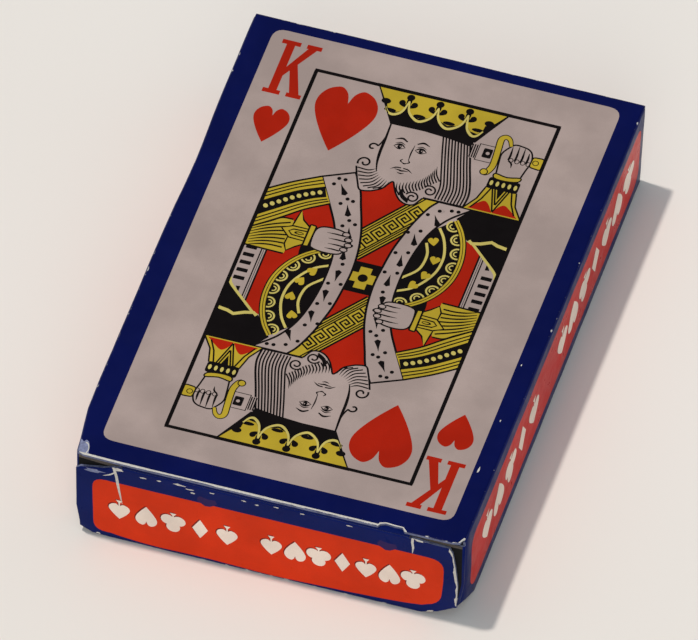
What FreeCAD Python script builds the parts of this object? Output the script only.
import FreeCAD, Part
import math
import os
import random

# Tuck box holding a full deck of bridge-size playing cards, in millimetres.
# It lies on its back with the printed face up. Origin: middle of the footprint, on the surface
# it rests on. +X runs across the face, +Y from the tuck lid to the glued bottom end, +Z up
# out of the face. The box is folded from one sheet of coated board: each panel and flap is a
# solid of its own, and each crease that moves is a small round bead that its flap turns on.

Vec = FreeCAD.Vector
X_AXIS, Y_AXIS, Z_AXIS = Vec(1, 0, 0), Vec(0, 1, 0), Vec(0, 0, 1)

# Driving dimensions
BOX_WIDTH = 61.0
BOX_LENGTH = 90.5
BOX_DEPTH = 17.5
BOARD = 0.4              # thickness of the folded board
CREASE_GAP = 0.05        # clearance that a flap's bead keeps from the panel it folds on

CARD_WIDTH = 57.0
CARD_LENGTH = 87.0
CARD_THICKNESS = 0.28
CARD_PITCH = 0.29
CARD_CORNER = 3.5
CARD_STRAY = 0.1         # how far a card lies out of line with the deck

SUITS = ("spades", "diamonds", "clubs", "hearts")
PICTURES = ("ace", "jack", "queen", "king")
NUMBER_GROUPS = ((2, 3), (4, 5), (6, 7), (8, 9), (10,))
JOKERS = 2

# Edges of the box
HALF_WIDTH = BOX_WIDTH / 2
HALF_LENGTH = BOX_LENGTH / 2
INNER_HALF_WIDTH = HALF_WIDTH - BOARD
FLOOR_TOP = BOARD
CEILING = BOX_DEPTH - BOARD
BEAD = BOARD / 2         # radius of a crease bead: the board's own rounded fold

# Tuck lid: closes the near end, folds on the back panel
LID_Y = -HALF_LENGTH + BEAD
LID_FOOT_Z = BEAD
LID_FOOT_HALF = 30.2
LID_HEAD_HALF = 28.9
LID_HEAD_Z = CEILING - CREASE_GAP - BEAD
SLIT_LENGTH = 6.75       # slit-lock cut in from each end of the lid's upper crease
SLIT_X = LID_HEAD_HALF - SLIT_LENGTH

# Tongue: folds on the lid, tucks in under the front panel and lies on the deck
TONGUE_LENGTH = 12.2
TONGUE_CORNER = 9.0
TONGUE_SLOPE = 2.6       # degrees down from the crease to the deck
TONGUE_WING_START = 0.85  # how far behind the crease its free wings begin

# Dust flaps at the lid end: fold on the side panels, behind the lid
FLAP_Y = LID_Y + BOARD + 2 * CREASE_GAP
FLAP_REACH = 13.0
FLAP_FOOT_Z = 0.5
FLAP_FOOT_SLOPE = 0.52   # rise of the slanted lower edge, which lets the flap pass the open lid
FLAP_SHOULDER = 7.4      # length of the shoulder that locks in the lid's slit
FLAP_SHOULDER_Z = 16.95
FLAP_TIP_Z = 14.8
FLAP_TIP_CHAMFER = 2.5

# Glued parts
GLUE_FLAP_WIDTH = 12.0
GLUE_FLAP_END = 43.2
GLUE_FLAP_TAPER = 2.7
BOTTOM_FLAP_REACH = 15.0
BOTTOM_FLAP_MARGIN = 0.2
BOTTOM_FLAP_CHAMFER = 3.0
BOTTOM_OUTER_HALF = 30.35
BOTTOM_INNER_HALF = 29.65
BOTTOM_INNER_FOOT_Z = 4.0

# Deck: midway between the dust flaps of both ends, and clear of the glue flap
DECK_Y = -BOARD / 2 + CREASE_GAP
DECK_FOOT_Z = FLOOR_TOP + 0.03


def slab(x_low, x_high, y_low, y_high, z_low, z_high):
    """Flat board between two corners."""
    return Part.makeBox(x_high - x_low, y_high - y_low, z_high - z_low, Vec(x_low, y_low, z_low))


def plate(outline, thickness_vector):
    """Flat board of any outline, given as a closed run of points."""
    return Part.Face(Part.makePolygon(outline + outline[:1])).extrude(thickness_vector)


def bead(start, direction, length):
    """Rounded fold of the board."""
    return Part.makeCylinder(BEAD, length, start, direction)


def one_solid(*shapes):
    """The shapes joined, without the seams between them."""
    first, *others = shapes
    return (first.multiFuse(others) if others else first).removeSplitter()


def mirrored(shape):
    return shape.mirror(Vec(0, 0, 0), X_AXIS)


def front_panel():
    return slab(-HALF_WIDTH, HALF_WIDTH, -HALF_LENGTH, HALF_LENGTH, CEILING, BOX_DEPTH)


def back_panel():
    crease_y = LID_Y + BEAD + CREASE_GAP
    return slab(-HALF_WIDTH, HALF_WIDTH, crease_y, HALF_LENGTH, 0, FLOOR_TOP)


def right_side_panel():
    near_y = FLAP_Y + BEAD + CREASE_GAP
    far_y = HALF_LENGTH - 2 * BOARD
    return slab(INNER_HALF_WIDTH, HALF_WIDTH, near_y, far_y, FLOOR_TOP, CEILING)


def glue_flap():
    """Strip along the back panel's left edge, glued inside the left side panel."""
    low, high = FLOOR_TOP, FLOOR_TOP + GLUE_FLAP_WIDTH
    end, tapered = GLUE_FLAP_END, GLUE_FLAP_END - GLUE_FLAP_TAPER
    corners = ((-end, low), (end, low), (tapered, high), (-tapered, high))
    return plate([Vec(-INNER_HALF_WIDTH, y, z) for y, z in corners], X_AXIS * BOARD)


def bottom_outer_panel():
    half = BOTTOM_OUTER_HALF
    return slab(-half, half, HALF_LENGTH - BOARD, HALF_LENGTH, FLOOR_TOP, CEILING)


def bottom_inner_panel():
    """Shorter panel, glued between the outer one and the bottom dust flaps."""
    outer_y = HALF_LENGTH - BOARD
    half = BOTTOM_INNER_HALF
    return slab(-half, half, outer_y - BOARD, outer_y, BOTTOM_INNER_FOOT_Z, CEILING)


def bottom_right_dust_flap():
    inner_y = HALF_LENGTH - 3 * BOARD
    low, high = FLOOR_TOP + BOTTOM_FLAP_MARGIN, CEILING - BOTTOM_FLAP_MARGIN
    root_x, tip_x = INNER_HALF_WIDTH, INNER_HALF_WIDTH - BOTTOM_FLAP_REACH
    cut = BOTTOM_FLAP_CHAMFER
    corners = (
        (root_x, low), (root_x, high), (tip_x + cut, high),
        (tip_x, high - cut), (tip_x, low + cut), (tip_x + cut, low),
    )
    return plate([Vec(x, inner_y, z) for x, z in corners], Y_AXIS * BOARD)


def lid_panel():
    """Tapered panel with a bead along its foot, which it turns on, and slit-lock wings."""
    outer_y = -HALF_LENGTH
    wing_z = LID_HEAD_Z
    crease_z = LID_HEAD_Z - BEAD - CREASE_GAP
    corners = (
        (-LID_FOOT_HALF, LID_FOOT_Z), (LID_FOOT_HALF, LID_FOOT_Z),
        (LID_HEAD_HALF, wing_z), (SLIT_X, wing_z), (SLIT_X, crease_z),
        (-SLIT_X, crease_z), (-SLIT_X, wing_z), (-LID_HEAD_HALF, wing_z),
    )
    panel = plate([Vec(x, outer_y, z) for x, z in corners], Y_AXIS * BOARD)
    foot = bead(Vec(-LID_FOOT_HALF, LID_Y, LID_FOOT_Z), X_AXIS, 2 * LID_FOOT_HALF)
    wings = [bead(Vec(x, LID_Y, wing_z), X_AXIS, SLIT_LENGTH) for x in (-LID_HEAD_HALF, SLIT_X)]
    return one_solid(panel, foot, *wings)


def tuck_tongue():
    """Tongue with rounded corners: narrow at the crease between the slits, wide behind them."""
    root_half = SLIT_X - CREASE_GAP
    wing_half = LID_HEAD_HALF
    tip, corner = TONGUE_LENGTH, TONGUE_CORNER
    diagonal = corner * math.sqrt(0.5)
    low = LID_HEAD_Z - BEAD

    def at(x, y):
        return Vec(x, LID_Y + y, low)

    right = [at(root_half, 0), at(root_half, TONGUE_WING_START), at(wing_half, TONGUE_WING_START)]
    right.append(at(wing_half, tip - corner))
    arc_middle = at(wing_half - corner + diagonal, tip - corner + diagonal)
    arc_end = at(wing_half - corner, tip)

    def other_side(point):
        return Vec(-point.x, point.y, point.z)

    edges = [Part.makeLine(a, b) for a, b in zip(right, right[1:])]
    edges.append(Part.Arc(right[-1], arc_middle, arc_end).toShape())
    edges.append(Part.makeLine(arc_end, other_side(arc_end)))
    edges.append(Part.Arc(other_side(arc_end), other_side(arc_middle), other_side(right[-1])).toShape())
    left = [other_side(p) for p in reversed(right)]
    edges += [Part.makeLine(a, b) for a, b in zip(left, left[1:])]
    edges.append(Part.makeLine(left[-1], right[0]))
    sheet = Part.Face(Part.Wire(edges)).extrude(Z_AXIS * BOARD)
    crease = bead(Vec(-root_half, LID_Y, LID_HEAD_Z), X_AXIS, 2 * root_half)
    tongue = one_solid(sheet, crease)
    tongue.rotate(Vec(0, LID_Y, LID_HEAD_Z), X_AXIS, -TONGUE_SLOPE)
    return tongue


def top_right_dust_flap():
    """Flap with a slanted lower edge, a locking shoulder beside its crease and a cut-back tip."""
    root_x = HALF_WIDTH - BEAD
    tip_x = root_x - FLAP_REACH
    shoulder_x = root_x - FLAP_SHOULDER
    tip_foot_z = FLAP_FOOT_Z + FLAP_FOOT_SLOPE * FLAP_REACH
    corners = (
        (root_x, FLAP_FOOT_Z), (root_x, FLAP_SHOULDER_Z), (shoulder_x, FLAP_SHOULDER_Z),
        (shoulder_x, FLAP_TIP_Z), (tip_x + FLAP_TIP_CHAMFER, FLAP_TIP_Z),
        (tip_x, FLAP_TIP_Z - FLAP_TIP_CHAMFER), (tip_x, tip_foot_z),
    )
    sheet = plate([Vec(x, FLAP_Y - BEAD, z) for x, z in corners], Y_AXIS * BOARD)
    crease = bead(Vec(root_x, FLAP_Y, FLAP_FOOT_Z), Z_AXIS, FLAP_SHOULDER_Z - FLAP_FOOT_Z)
    return one_solid(sheet, crease)


def card(number, stray):
    """One card, numbered from the bottom of the deck, lying a little out of line."""
    x = stray.uniform(-CARD_STRAY, CARD_STRAY)
    y = DECK_Y + stray.uniform(-CARD_STRAY, CARD_STRAY)
    low = DECK_FOOT_Z + number * CARD_PITCH
    half_width, half_length = CARD_WIDTH / 2, CARD_LENGTH / 2
    sheet = slab(x - half_width, x + half_width, y - half_length, y + half_length, low, low + CARD_THICKNESS)
    corners = [e for e in sheet.Edges if abs(e.Vertexes[0].Z - e.Vertexes[1].Z) > CARD_THICKNESS / 2]
    return sheet.makeFillet(CARD_CORNER, corners)


def deck():
    """Every card of the deck as {node: its cards}: one to a node, or two number cards."""
    stray = random.Random(54)
    names = []
    for suit in SUITS:
        names += [f"{suit}_{picture}" for picture in PICTURES]
        for group in NUMBER_GROUPS:
            label = "_".join(str(rank) for rank in group)
            names += [f"{suit}_{label}"] * len(group)
    names += [f"joker_{k + 1}" for k in range(JOKERS)]
    cards = {}
    for number, name in enumerate(names):
        cards.setdefault(name, []).append(card(number, stray))
    return {name: Part.makeCompound(group) for name, group in cards.items()}


def box():
    """Every panel and flap of the box as {node: shape}."""
    return {
        "front_panel": front_panel(),
        "back_panel": back_panel(),
        "left_side_panel": mirrored(right_side_panel()),
        "right_side_panel": right_side_panel(),
        "glue_flap": glue_flap(),
        "bottom_outer_panel": bottom_outer_panel(),
        "bottom_inner_panel": bottom_inner_panel(),
        "bottom_left_dust_flap": mirrored(bottom_right_dust_flap()),
        "bottom_right_dust_flap": bottom_right_dust_flap(),
        "lid_panel": lid_panel(),
        "tuck_tongue": tuck_tongue(),
        "top_left_dust_flap": mirrored(top_right_dust_flap()),
        "top_right_dust_flap": top_right_dust_flap(),
    }


os.makedirs("parts", exist_ok=True)
for node, shape in {**box(), **deck()}.items():
    shape.exportStep(f"parts/{node}.step")
